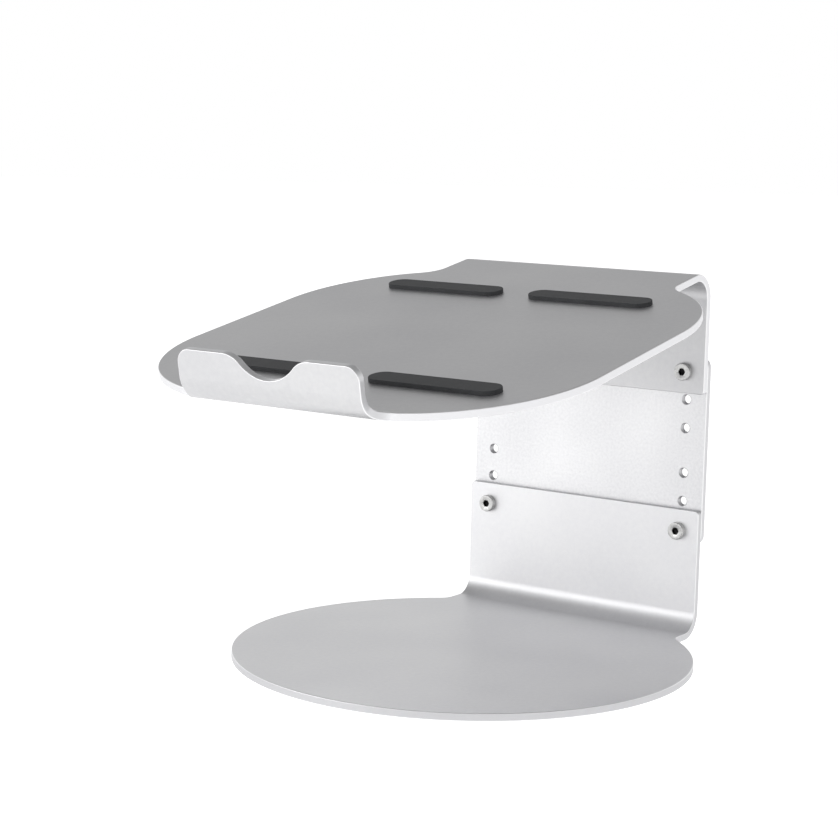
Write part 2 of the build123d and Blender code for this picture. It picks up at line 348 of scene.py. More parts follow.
@dataclass
class BentSheet:
    """A sheet cut to a flat pattern, its edges softly rounded, then bent along its path.

    Attributes:
        path: The side path of its reference face.
        thick: The sheet's thickness.
        outline: The pattern's outer edge.
        holes: Plain holes.
        bores: Centres of tapped holes.
        front_r: Edge rounding at the reference face.
        back_r: Edge rounding at the other face.
        thread: Thread of the tapped holes.
        mouth: Countersink at both mouths of a tapped hole.
    """

    path: SheetPath
    thick: float
    outline: Outline
    holes: list[Outline] = field(default_factory=list)
    bores: list[Pair] = field(default_factory=list)
    front_r: float = 0.45
    back_r: float = 0.45
    thread: Thread = Thread()
    mouth: float = 0.5
    across_step: float = 3.0
    row_clearance: float = 0.56  # least distance from a point on a bend row to an edge
    edge_steps: int = 4
    bore_points: int = 48
    bore_step: float = 0.08

    def edge_rings(self, loop: Outline) -> Rings:
        """Rings of a cut edge from the reference face to the other one.

        Args:
            loop: The edge in the flat.

        Returns:
            The rings, their normals, and each ring's share, from 0 to 1, of polished edge with its painted
            highlight and of cut side with its painted light and shade.
        """
        points, normals = np.array(loop.points), np.array(loop.normals)
        rings, directions, polish_and_painted_light = [], [], []
        fronts = [(90 - 90 * k / self.edge_steps, -1) for k in range(self.edge_steps + 1)]
        backs = [(90 * k / self.edge_steps, 1) for k in range(self.edge_steps + 1)]
        for angle, face in fronts + backs:
            radius = self.front_r if face < 0 else self.back_r
            lean = radians(angle)
            inset, below = radius * (1 - cos(lean)), radius * (1 - sin(lean))
            depth = below if face < 0 else self.thick - below
            rings.append(np.column_stack((points - normals * inset, np.full(len(points), depth))))
            outward = np.full(len(points), face * sin(lean))
            directions.append(np.column_stack((normals * cos(lean), outward)))
            # First share peaks halfway round the rounding, where the painted highlight sits; second is
            # full on the cut side, whose colour is painted light and shade.
            polish_and_painted_light.append((sin(2 * lean), cos(lean) ** 4))
        return rings, directions, polish_and_painted_light

    def bore_rings(self, centre: Pair) -> Rings:
        """Rings of a tapped hole with a countersunk mouth at each face.

        Args:
            centre: The hole's centre in the flat.

        Returns:
            The rings, their normals, and each ring's share, from 0 to 1, of polished edge with its painted
            highlight and of cut side with its painted light and shade.
        """
        angles = np.linspace(2 * pi, 0, self.bore_points, endpoint=False)
        rings, directions, polish_and_painted_light = [], [], []
        count = ceil(self.thick / self.bore_step)
        for k in range(count + 1):
            depth = self.thick * k / count
            sink = self.thread.root_r + self.mouth - min(depth, self.thick - depth)
            radius = np.maximum(self.thread.radius(angles, depth), sink)
            x, y = centre[0] + radius * np.cos(angles), centre[1] + radius * np.sin(angles)
            rings.append(np.column_stack((x, y, np.full(len(angles), depth))))
            face = {0: -1.0, count: 1.0}.get(k, 0.0)
            directions.append(np.tile((0.0, 0.0, face), (len(angles), 1)))
            # The tapped hole's walls count as cut side, so they take its painted shade.
            polish_and_painted_light.append((0.0, abs(face) < 1.0))
        return rings, directions, polish_and_painted_light

    def inner_points(self, loops: list[np.ndarray]) -> np.ndarray:
        """Points on the bend rows, clear of every edge.

        Args:
            loops: The edges of the area to fill, the outer one first.

        Returns:
            The points in the flat.
        """
        rows = self.path.bend_rows()
        reach = float(np.abs(loops[0][:, 0]).max())
        count = ceil(2 * reach / self.across_step)
        grid = np.array([(-reach + 2 * reach * k / count, row) for row in rows for k in range(count + 1)])
        if not len(grid):
            return np.zeros((0, 2))
        keep = covers(loops[0], grid)
        for loop in loops[1:]:
            keep &= ~covers(loop, grid)
        grid = grid[keep]
        edges = np.concatenate(loops)
        gaps = np.linalg.norm(grid[:, None] - edges[None], axis=2).min(1)
        return grid[gaps > self.row_clearance]

    def fill(self, loops: list[np.ndarray], inner: np.ndarray) -> list[list[int]]:
        """Fills a face of the sheet with triangles.

        Args:
            loops: Its edges in the flat, the outer one first.
            inner: Points between them.

        Returns:
            The triangles, as places in the loops' points followed by the inner ones.
        """
        corners = np.concatenate([*loops, inner])
        edges, first = [], 0
        for loop in loops:
            edges += [(first + k, first + (k + 1) % len(loop)) for k in range(len(loop))]
            first += len(loop)
        made = delaunay_2d_cdt([Vector(c) for c in corners.tolist()], edges, [], 0, 1e-6)
        triangles = [[made[3][v][0] for v in f] for f in made[2]]
        middles = np.array([corners[t].mean(0) for t in triangles])
        keep = covers(loops[0], middles)
        for loop in loops[1:]:
            keep &= ~covers(loop, middles)
        return [t for t, kept in zip(triangles, keep) if kept]

    def make(self, name: str) -> Object:
        """Builds the sheet.

        Args:
            name: The object's name.

        Returns:
            The object.
        """
        rims = [self.edge_rings(loop) for loop in [self.outline, *self.holes]]
        rims += [self.bore_rings(centre) for centre in self.bores]
        flat, directions, polish_and_painted_light, faces = [], [], [], []
        front_ids, back_ids, total = [], [], 0
        for rings, ring_normals, ring_polish_and_painted_light in rims:
            size = len(rings[0])
            for k in range(len(rings) - 1):
                low, high = total + k * size, total + (k + 1) * size
                faces += [
                    (low + j, high + j, high + (j + 1) % size, low + (j + 1) % size) for j in range(size)
                ]
            front_ids.append(np.arange(total, total + size))
            back_ids.append(np.arange(total + (len(rings) - 1) * size, total + len(rings) * size))
            flat += rings
            directions += ring_normals
            polish_and_painted_light += [np.tile(np.array(values, float), (size, 1)) for values in ring_polish_and_painted_light]
            total += size * len(rings)
        for ids, face, depth in ((front_ids, -1, 0.0), (back_ids, 1, self.thick)):
            loops = [self._loop(flat, i) for i in ids]
            inner = self.inner_points(loops)
            numbers = np.concatenate([*ids, np.arange(total, total + len(inner))])
            for a, b, c in self.fill(loops, inner):
                order = (a, b, c) if face < 0 else (a, c, b)
                faces.append(tuple(int(numbers[i]) for i in order))
            flat.append(np.column_stack((inner, np.full(len(inner), depth))))
            directions.append(np.tile((0.0, 0.0, float(face)), (len(inner), 1)))
            polish_and_painted_light.append(np.zeros((len(inner), 2)))
            total += len(inner)
        if self.path.thick_side > 0:
            faces = [tuple(reversed(f)) for f in faces]
        space, normals = self.path.place(np.concatenate(flat), np.concatenate(directions))
        obj = into_object(name, space, faces, normals)
        # Marks for edge polish with painted highlight, and for cut sides with painted light and shade.
        for column, name_of in enumerate((EDGE_POLISH_AND_HIGHLIGHT, CUT_SIDE_PAINTED_SHADE_AND_LIGHT)):
            mark(obj, name_of, np.concatenate(polish_and_painted_light)[:, column])
        return obj

    @staticmethod
    def _loop(flat: list[np.ndarray], ids: np.ndarray) -> np.ndarray:
        """The flat places of points given by number."""
        return np.concatenate(flat)[ids, :2]


@dataclass
class SocketScrew:
    """Low-head hexagon socket screw, turned and rolled, with its head towards the front.

    Attributes:
        centre: Its axis, as (x, z).
        seat: Depth of the face that the head sits on, along +Y.
        plate: Depth of the threaded plate's front face, where the thread's depth is 0.
    """

    centre: Pair
    seat: float
    plate: float
    head_d: float = 8.5
    head_h: float = 2.6
    head_r: float = 0.45
    socket_af: float = 3.0
    socket_depth: float = 1.75
    socket_mouth: float = 0.18
    drill_point: float = 0.5
    length: float = 6.0
    tip: float = 0.7
    flat_ring: float = 0.25  # face left flat inside the rounded rim
    rim_steps: int = 5
    foot_bevel: float = 0.15  # under the head
    neck_r: float = 0.2  # fillet where the shank meets the head
    run_out: float = 0.8  # length over which the thread fades in
    play: float = 0.09  # between the screw's thread and the plate's
    least_tip_r: float = 0.5
    tip_cut: float = 0.2  # how far under the root the tip's cone starts
    thread: Thread = Thread()
    around: int = 48
    thread_step: float = 0.08

    def rings(self) -> list[tuple[np.ndarray | float, float]]:
        """The screw's skin from the socket's floor to the tip, as radii and depths."""
        angles = np.linspace(0, 2 * pi, self.around, endpoint=False)
        sector = pi / 3
        hexagon = self.socket_af / 2 / np.cos(angles % sector - sector / 2)
        corner = self.socket_af / 2 / cos(pi / 6)
        top, rim = self.seat - self.head_h, self.head_d / 2
        made = [
            (hexagon, top + self.socket_depth),
            (hexagon, top + self.socket_mouth),
            (corner + self.socket_mouth, top),
            (rim - self.head_r - self.flat_ring, top),
        ]
        for k in range(self.rim_steps + 1):
            lean = radians(90 - 90 / self.rim_steps * k)
            made.append((rim - self.head_r * (1 - cos(lean)), top + self.head_r * (1 - sin(lean))))
        made += [(rim, self.seat - self.foot_bevel), (rim - self.foot_bevel, self.seat)]
        neck = self.thread.crest_r - self.play
        made += [(neck + self.neck_r, self.seat), (neck, self.seat + self.neck_r)]
        for depth in np.arange(self.run_out, self.length + self.thread_step / 2, self.thread_step):
            cut = self.thread.radius(angles, self.seat + depth - self.plate) - self.play
            fade = min(1.0, (depth - self.run_out) / self.run_out)
            cut = neck + (cut - neck) * fade
            if depth > self.length - self.tip:
                left = max(0.0, self.length - depth)
                tip = self.thread.root_r - self.play + left - self.tip_cut
                cut = np.minimum(cut, max(tip, self.least_tip_r))
            made.append((cut, self.seat + depth))
        return made

    def make(self, name: str) -> Object:
        """Builds the screw.

        Args:
            name: The object's name.

        Returns:
            The object.
        """
        angles = np.linspace(0, 2 * pi, self.around, endpoint=False)
        rings = self.rings()
        verts = [np.array([[self.centre[0], rings[0][1] + self.drill_point, self.centre[1]]])]
        for radius, depth in rings:
            x, z = self.centre[0] + radius * np.cos(angles), self.centre[1] + radius * np.sin(angles)
            verts.append(np.column_stack((x, np.full(self.around, depth), z)))
        verts.append(np.array([[self.centre[0], rings[-1][1], self.centre[1]]]))
        last = 1 + len(rings) * self.around
        faces = []
        for j in range(self.around):
            after = (j + 1) % self.around
            faces.append((0, 1 + j, 1 + after))
            for k in range(len(rings) - 1):
                low, high = 1 + k * self.around, 1 + (k + 1) * self.around
                faces.append((low + j, high + j, high + after, low + after))
            faces.append((last - self.around + j, last, last - self.around + after))
        screw = into_object(name, np.concatenate(verts), faces)
        # The socket's floor and walls are marked for painted shade.
        socket_painted_shade_mask = np.zeros(len(screw.data.vertices))
        socket_painted_shade_mask[: 1 + 2 * self.around] = 1.0
        mark(screw, SOCKET_PAINTED_SHADE, socket_painted_shade_mask)
        return screw


# Finishes --------------------------------------------------------------------------------------


def linear(colour: str) -> tuple[float, float, float, float]:
    """Turns an sRGB hex colour into linear light.

    Args:
        colour: Such as "#C0C2C4".

    Returns:
        Red, green, blue and alpha.
    """
    shares = [int(colour[k : k + 2], 16) / 255 for k in (1, 3, 5)]
    red, green, blue = ((s / 12.92) if s <= 0.04045 else ((s + 0.055) / 1.055) ** 2.4 for s in shares)
    return red, green, blue, 1.0


def add_node(
    tree: NodeTree, kind: str, inputs: dict[str | int, Any] | None = None, **settings: Any
) -> Node:
    """Adds one node.

    Args:
        tree: The node tree.
        kind: The node's type.
        inputs: A value, or another node's output, for each input that needs one.
        settings: The node's own properties.

    Returns:
        The node.
    """
    node = tree.nodes.new(kind)
    for key, value in settings.items():
        setattr(node, key, value)
    for socket, value in (inputs or {}).items():
        if isinstance(value, NodeSocket):
            tree.links.new(value, node.inputs[socket])
        else:
            node.inputs[socket].default_value = value
    return node


def per_metre(size: float) -> float:
    """A texture's scale for features of a size in millimetres."""
    return 1 / (size * MM)


def new_material(name: str) -> tuple[Material, NodeTree]:
    """An empty node material and its tree."""
    material = bpy.data.materials.new(name)
    material.use_nodes = True
    material.node_tree.nodes.clear()
    return material, material.node_tree


def between(
    tree: NodeTree,
    share: NodeSocket,
    low: float = 0.0,
    high: float = 1.0,
    span: Pair = (0.3, 0.7),
) -> NodeSocket:
    """Spreads a noise, from the first to the second value of its span, over low to high."""
    inputs = {0: share, 1: span[0], 2: span[1], 3: low, 4: high}
    return add_node(tree, "ShaderNodeMapRange", inputs).outputs[0]


def noise(tree: NodeTree, place: NodeSocket, size: float, detail: float, **inputs: float) -> NodeSocket:
    """A noise with features of a size in millimetres."""
    values = {"Vector": place, "Scale": per_metre(size), "Detail": detail, **inputs}
    return add_node(tree, "ShaderNodeTexNoise", values).outputs[0]


def blend(tree: NodeTree, share: NodeSocket, first: Any, second: Any) -> NodeSocket:
    """Mixes two colours: all the first where the share is 0, and all the second where it is 1."""
    return add_node(tree, "ShaderNodeMix", {0: share, 6: first, 7: second}, data_type="RGBA").outputs[2]


def relief(tree: NodeTree, height: NodeSocket, deep: float, strength: float = 0.6) -> NodeSocket:
    """Normals of a relief that is so many millimetres deep."""
    inputs = {"Strength": strength, "Distance": deep * MM, "Height": height}
    return add_node(tree, "ShaderNodeBump", inputs).outputs[0]


def carried(tree: NodeTree, name: str) -> NodeSocket:
    """A value that the mesh carries under a name."""
    return add_node(tree, "ShaderNodeAttribute", attribute_name=name).outputs["Fac"]


def surface(tree: NodeTree, **inputs: Any) -> None:
    """Ends a material in a principled shader, whose inputs' names are spelt with underscores here."""
    named = {key.replace("_", " "): value for key, value in inputs.items()}
    shader = add_node(tree, "ShaderNodeBsdfPrincipled", named)
    add_node(tree, "ShaderNodeOutputMaterial", {"Surface": shader.outputs[0]})


@dataclass(frozen=True)
class BlastedAnodisedAluminium:
    """Aluminium sheet, glass-bead blasted and clear anodised.

    Blasting leaves a skin of fine dents, which gives the eye a silky, even sheen with a faint
    grain. The anodising keeps the grey cool and a little milky. The tumbled edges are smoother, and
    a paler colour on their rounding is a painted highlight. The cut sides' colour is painted shade
    where it is darker than the faces, and painted light where it is paler.
    """

    name: str
    pale: str = "#E3E3E4"
    deep: str = "#DCDCDE"
    # paler colour of the rounded edges: a painted highlight
    edge: str = "#F0F0F1"
    cut: str = "#C8C8CA"  # cut sides, darker than the faces: painted shade
    roughness: float = 0.5
    spread: float = 0.02
    edge_polish: float = 0.1  # how much smoother tumbling leaves the edges
    grain: float = 0.45  # mm, coarser than real 0.1 mm dents so that it shows
    grain_height: float = 0.004
    mottle: float = 2.2  # mm, patches where the blast dwelt longer
    cloud: float = 55.0  # mm, slow changes of tone over a plate

    def material(self) -> Material:
        """Builds the finish."""
        made, tree = new_material(self.name)
        place = add_node(tree, "ShaderNodeTexCoord").outputs["Object"]
        grain = noise(tree, place, self.grain, 2.0, Roughness=0.55)
        mottle = noise(tree, place, self.mottle, 3.0, Roughness=0.6)
        cloud = noise(tree, place, self.cloud, 1.0)
        patchy = add_node(tree, "ShaderNodeMath", {0: mottle, 1: cloud}, operation="ADD").outputs[0]
        tone = blend(tree, between(tree, patchy, span=(0.7, 1.3)), linear(self.deep), linear(self.pale))
        # Rounded edges' mask: smoother roughness there, and a painted highlight in the colour.
        polish_and_painted_light = carried(tree, EDGE_POLISH_AND_HIGHLIGHT)
        # Cut sides take the cut colour: painted shade where darker than the faces, painted light where
        # paler.
        sides = blend(tree, carried(tree, CUT_SIDE_PAINTED_SHADE_AND_LIGHT), tone, linear(self.cut))
        rough = between(tree, mottle, self.roughness - self.spread, self.roughness + self.spread)
        smoothed = add_node(
            tree, "ShaderNodeMath", {0: polish_and_painted_light, 1: -self.edge_polish, 2: rough}, operation="MULTIPLY_ADD"
        )
        surface(
            tree,
            Base_Color=blend(tree, polish_and_painted_light, sides, linear(self.edge)),
            Metallic=1.0,
            Roughness=smoothed.outputs[0],
            Normal=relief(tree, grain, self.grain_height),
        )
        return made


@dataclass(frozen=True)
class TurnedPlatedSteel:
    """Steel, turned and rolled, then zinc plated.

    Fine turning marks catch the light as rings on the head, and the plating is a little darker and
    glossier than the aluminium beside it, so the head's rim stands out. The socket is coloured near
    black, a painted shade in its recess.
    """

    name: str
    colour: str = "#CBCBCA"
    dull: str = "#B2B2B1"
    socket: str = "#1C1C1D"  # near black: painted shade in the blind socket's recess
    roughness: float = 0.3
    smoother: float = 0.05  # thick plating is smoother by this
    rougher: float = 0.07  # and thin plating rougher by this
    turning: float = 0.22  # mm between turning marks, drawn coarser than real 0.1 mm
    turning_height: float = 0.004
    blotch: float = 1.6  # mm, patches where the plating is thicker

    def material(self, centre: Pair) -> Material:
        """Builds the finish.

        Args:
            centre: The screw's axis as (x, z).

        Returns:
            The material.
        """
        made, tree = new_material(self.name)
        coords = add_node(tree, "ShaderNodeTexCoord").outputs["Object"]
        inputs = {"Vector": coords, "Location": (-centre[0] * MM, 0, -centre[1] * MM), "Scale": (1, 0, 1)}
        place = add_node(tree, "ShaderNodeMapping", inputs).outputs[0]
        rings = add_node(
            tree,
            "ShaderNodeTexWave",
            {
                "Vector": place,
                "Scale": per_metre(self.turning) / WAVES_PER_SCALE,
                "Distortion": 0.4,
                "Detail": 1.0,
            },
            wave_type="RINGS",
            rings_direction="SPHERICAL",
        ).outputs["Fac"]
        blotch = noise(tree, coords, self.blotch, 3.0)
        plating = blend(tree, between(tree, blotch), linear(self.dull), linear(self.colour))
        # The socket's floor and walls take the near-black colour, a painted shade.
        surface(
            tree,
            Base_Color=blend(tree, carried(tree, SOCKET_PAINTED_SHADE), plating, linear(self.socket)),
            Metallic=1.0,
            Roughness=between(tree, blotch, self.roughness - self.smoother, self.roughness + self.rougher),
            Normal=relief(tree, rings, self.turning_height, 0.5),
        )
        return made


@dataclass(frozen=True)
class MouldedSilicone:
    """Silicone rubber, compression moulded in a spark-eroded tool.

    The tool's pitted walls leave a dull, fine-grained skin that takes no reflection but a soft
    sheen at its rounded edges.
    """

    name: str
    colour: str = "#2C2D2F"
    dusty: str = "#3A3B3D"
    roughness: float = 0.62
    spread: float = 0.06
    ior: float = 1.41
    grain: float = 0.35  # mm, the tool's sparked pits
    grain_height: float = 0.012
    dust: float = 7.0  # mm, patches of dust on the tacky skin

    def material(self) -> Material:
        """Builds the finish."""
        made, tree = new_material(self.name)
        place = add_node(tree, "ShaderNodeTexCoord").outputs["Object"]
        grain = noise(tree, place, self.grain, 2.0)
        dust = noise(tree, place, self.dust, 4.0)
        surface(
            tree,
            Base_Color=blend(tree, between(tree, dust), linear(self.colour), linear(self.dusty)),
            Roughness=between(tree, dust, self.roughness - self.spread, self.roughness + self.spread),
            IOR=self.ior,
            Normal=relief(tree, grain, self.grain_height),
        )
        return made


# Sub-assemblies --------------------------------------------------------------------------------


def box_mm(node: str) -> tuple[Vector, Vector]:
    """Lowest and highest corner of a CAD node at rest, in millimetres."""
    low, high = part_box(node)
    return low / MM, high / MM


def middle_mm(node: str) -> Vector:
    """Middle of a CAD node's box at rest, in millimetres."""
    low, high = box_mm(node)
    return (low + high) / 2


def finish_piece(piece: Object, node: str, body: str, material: Material) -> None:
    """Dresses a piece and puts it in its CAD node's place.

    Args:
        piece: The piece.
        node: The CAD node that it stands for.
        body: The body that it rides on.
        material: Its finish.
    """
    piece.data.materials.clear()
    piece.data.materials.append(material)
    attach(piece, body)
    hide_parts(node)
    LOG.info("%s: %d faces, rides on %s", piece.name, len(piece.data.polygons), body)


def touching(across: float, reach: float) -> Pair:
    """Rise, and slope in degrees, between the centres of two arcs that touch."""
    rise = sqrt(reach**2 - across**2)
    return rise, degrees(atan2(rise, across))


def clearance_holes(word: str, shift: float, diameter: float) -> list[Outline]:
    """A pair of screws' plain holes. The shift turns heights into distances along the pattern."""
    middles = [middle_mm(f"{word}_screw_{side.word}") for side in Side]
    return [Outline.round_hole((at.x, at.z + shift), diameter / 2) for at in middles]


@dataclass
class Base:
    """Round base disc with its bent upright, and the holes for the screws that clamp the height plate to
    it.
    """

    sheet: float = 3.5
    bend_r: float = 9.0
    root_r: float = 8.0
    corner_r: float = 2.0
    clear_d: float = 5.5
    half_w: float = 66.0
    finish: BlastedAnodisedAluminium = BlastedAnodisedAluminium("blasted_anodised_aluminium_base")

    def pattern(self) -> tuple[Outline, SheetPath]:
        """The disc, neck and upright in the flat, and the path that bends them."""
        low, high = box_mm("base_frame")
        radius, top = high.x, low.z + self.sheet
        upright_y = high.y - self.sheet
        bend_y = upright_y - self.bend_r
        runs = [Run(bend_y), Run(self.bend_r * pi / 2, 90), Run(high.z - top - self.bend_r)]
        path = SheetPath((0.0, top), 0.0, -1, runs)
        height = sum(run.length for run in path.runs)
        root_x = self.half_w + self.root_r
        root_y, meet = touching(root_x, radius + self.root_r)
        outline = Outline().arc((0, 0), radius, -90, meet)
        outline.arc((root_x, root_y), self.root_r, 180 + meet, 180)
        outline.climb(height - self.corner_r, path.bend_rows())
        outline.arc((self.half_w - self.corner_r, height - self.corner_r), self.corner_r, 0, 90)
        return outline.mirrored(), path

    def build(self) -> None:
        """Builds and dresses the base sheet."""
        outline, path = self.pattern()
        shift = sum(run.length for run in path.runs) - box_mm("base_frame")[1].z
        holes = clearance_holes("lower", shift, self.clear_d)
        sheet = BentSheet(path, self.sheet, outline, holes).make("base_sheet")
        finish_piece(sheet, "base_frame", "base", self.finish.material())


@dataclass
class HeightPlate:
    """Flat plate with two columns of tapped holes, clamped behind the upright and the tray's flange."""

    corner_r: float = 5.0
    finish: BlastedAnodisedAluminium = BlastedAnodisedAluminium(
        "blasted_anodised_aluminium_plate",
        pale="#E2E2E3",
        deep="#CDCDCF",
        roughness=0.4,
        spread=0.06,
        grain=0.7,
        grain_height=0.008,
        mottle=1.4,
    )
    row_pitch: float = 14.0
    rows_per_set: int = 3
    seat_gap: float = 0.02  # blasted faces touch only on the peaks of their grain

    def build(self) -> None:
        """Builds and dresses the plate."""
        low, high = box_mm("height_plate")
        front = low.y + self.seat_gap
        path = SheetPath((front, 0.0), 90.0, -1)
        outline = Outline()
        outline.points, outline.normals = [(0.0, low.z)], [(0.0, -1.0)]
        outline.arc((high.x - self.corner_r, low.z + self.corner_r), self.corner_r, -90, 0)
        outline.climb(high.z - self.corner_r, [])
        outline.arc((high.x - self.corner_r, high.z - self.corner_r), self.corner_r, 0, 90)
        plate = BentSheet(path, high.y - front, outline.mirrored(), bores=self.bores())
        made = plate.make("height_plate_sheet")
        finish_piece(made, "height_plate", "plate", self.finish.material())

    def bores(self) -> list[Pair]:
        """Centres of the tapped holes, as (x, z)."""
        centres = []
        for side in Side:
            for word, step in (("lower", self.row_pitch), ("upper", -self.row_pitch)):
                middle = middle_mm(f"{word}_screw_{side.word}")
                centres += [(middle.x, middle.z + step * k) for k in range(self.rows_per_set)]
        return centres


@dataclass
class Tray:
    """The tray's bent sheet: flange, neck, round plate and lip with its finger notch."""

    sheet: float = 3.5
    bend_r: float = 9.0
    root_r: float = 8.0
    corner_r: float = 2.0
    clear_d: float = 5.5
    half_w: float = 66.0
    tilt: float = 11.0
    rise: float = 60.39  # top plane above the flange's bottom edge, at the flange's front face
    length: float = 250.0  # flange's front face to the lip's inner face
    depth: float = 214.0
    plate_r: float = 72.0
    setback: float = 5.0
    neck_r: float = 14.0
    half_lip: float = 46.7
    lip_h: float = 21.1
    lip_r: float = 6.5
    notch_depth: float = 9.8
    notch_r: float = 18.5
    notch_edge_r: float = 12.0
    # Darker than the base's aluminium, a painted shade; its cut sides paler than its faces, a painted
    # highlight.
    finish: BlastedAnodisedAluminium = BlastedAnodisedAluminium(
        "blasted_anodised_aluminium_tray", pale="#D2D2D3", deep="#C9C9CB", cut="#DEDEE0", roughness=0.46
    )

    def __post_init__(self) -> None:
        """Works out the side path and where the flat pattern's stretches start."""
        low, high = box_mm("tray_frame")
        self.half_plate = high.x
        self.flange_bottom, self.back_y = low.z, high.y
        outer, turn = self.bend_r + self.sheet, 90 + self.tilt
        corner = self.sheet / cos(radians(self.tilt))  # where the two flat faces would meet
        tangent = outer * tan(radians(turn / 2))
        corner_z = self.flange_bottom + self.rise + self.sheet * tan(radians(self.tilt))
        flange = corner_z - tangent - self.flange_bottom
        self.bend_start = self.length - self.bend_r
        slope = self.bend_start - (tangent - corner)
        runs = [
            Run(flange),
            Run(outer * radians(turn), turn),
            Run(slope),
            Run(self.bend_r * pi / 2, -90),
            Run(self.lip_h - self.bend_r),
        ]
        self.path = SheetPath((self.back_y, self.flange_bottom), 90.0, 1, runs)
        self.offset = flange + outer * radians(turn) - (tangent - corner)

    def along(self, forward: float) -> float:
        """Distance along the pattern of a place that far forward of the flange, on the slope."""
        return self.offset + forward

    def slope_point(self, forward: float, up: float) -> Pair:
        """A point in the side view, that far forward along the slope and up out of it."""
        lean = radians(self.tilt)
        front_y, top = self.back_y - self.sheet, self.flange_bottom + self.rise
        return (
            front_y - forward * cos(lean) - up * sin(lean),
            top - forward * sin(lean) + up * cos(lean),
        )

    def pattern(self) -> Outline:
        """Flange, neck, round plate and lip in the flat, from the flange's edge to the lip's."""
        rows = self.path.bend_rows()
        side_x = self.half_plate - self.plate_r
        rear = self.length - self.setback - self.depth + self.plate_r
        front = self.length - self.setback - self.plate_r
        outline = Outline()
        outline.points, outline.normals = [(0.0, 0.0)], [(0.0, -1.0)]
        outline.arc((self.half_w - self.corner_r, self.corner_r), self.corner_r, -90, 0)
        neck_x = self.half_w + self.neck_r
        neck_rise, neck_turn = touching(neck_x - side_x, self.plate_r + self.neck_r)
        outline.climb(self.along(rear - neck_rise), rows)
        outline.arc((neck_x, self.along(rear - neck_rise)), self.neck_r, 180, 180 - neck_turn)
        outline.arc((side_x, self.along(rear)), self.plate_r, -neck_turn, 0)
        outline.climb(self.along(front), [])
        root_x = self.half_lip + self.root_r
        root_rise, root_turn = touching(root_x - side_x, self.plate_r + self.root_r)
        outline.arc((side_x, self.along(front)), self.plate_r, 0, root_turn)
        outline.arc((root_x, self.along(front + root_rise)), self.root_r, 180 + root_turn, 180)
        top = self.along(self.bend_start) + self.bend_r * pi / 2 + self.lip_h - self.bend_r
        outline.climb(top - self.lip_r, rows)
        outline.arc((self.half_lip - self.lip_r, top - self.lip_r), self.lip_r, 0, 90)
        return self.notched(outline, top).mirrored()

    def notched(self, outline: Outline, top: float) -> Outline:
        """Adds the right half of the finger notch to the lip's top edge.

        Args:
            outline: The outline so far.
            top: The lip's top edge.

        Returns:
            The outline, which now ends on the middle line.
        """
        reach = self.notch_r + self.notch_edge_r
        drop = reach - self.notch_depth
        shoulder_x = sqrt(reach**2 - drop**2)
        turn = degrees(atan2(drop, shoulder_x))
        outline.arc((shoulder_x, top - self.notch_edge_r), self.notch_edge_r, 90, 180 - turn)
        return outline.arc((0, top - self.notch_depth + self.notch_r), self.notch_r, -turn, -90)

    def build(self) -> None:
        """Builds and dresses the tray sheet."""
        holes = clearance_holes("upper", -self.flange_bottom, self.clear_d)
        sheet = BentSheet(self.path, self.sheet, self.pattern(), holes).make("tray_sheet")
        finish_piece(sheet, "tray_frame", "tray", self.finish.material())


@dataclass
class Fasteners:
    """The four socket screws. Each pair rides with the sheet that its heads sit on."""

    head_h: float = 2.6
    steel: str = "turned_zinc_plated_steel"

    def build(self) -> None:
        """Builds and dresses the screws."""
        plate_y = box_mm("height_plate")[0].y
        for word, body in (("lower", "base"), ("upper", "tray")):
            for side in Side:
                node = f"{word}_screw_{side.word}"
                middle, front = middle_mm(node), box_mm(node)[0].y
                centre = (middle.x, middle.z)
                screw = SocketScrew(centre, front + self.head_h, plate_y, head_h=self.head_h)
                finish = TurnedPlatedSteel(f"{self.steel}_{word}_{side.word}")
                finish_piece(screw.make(f"{node}_turned"), node, body, finish.material(centre))


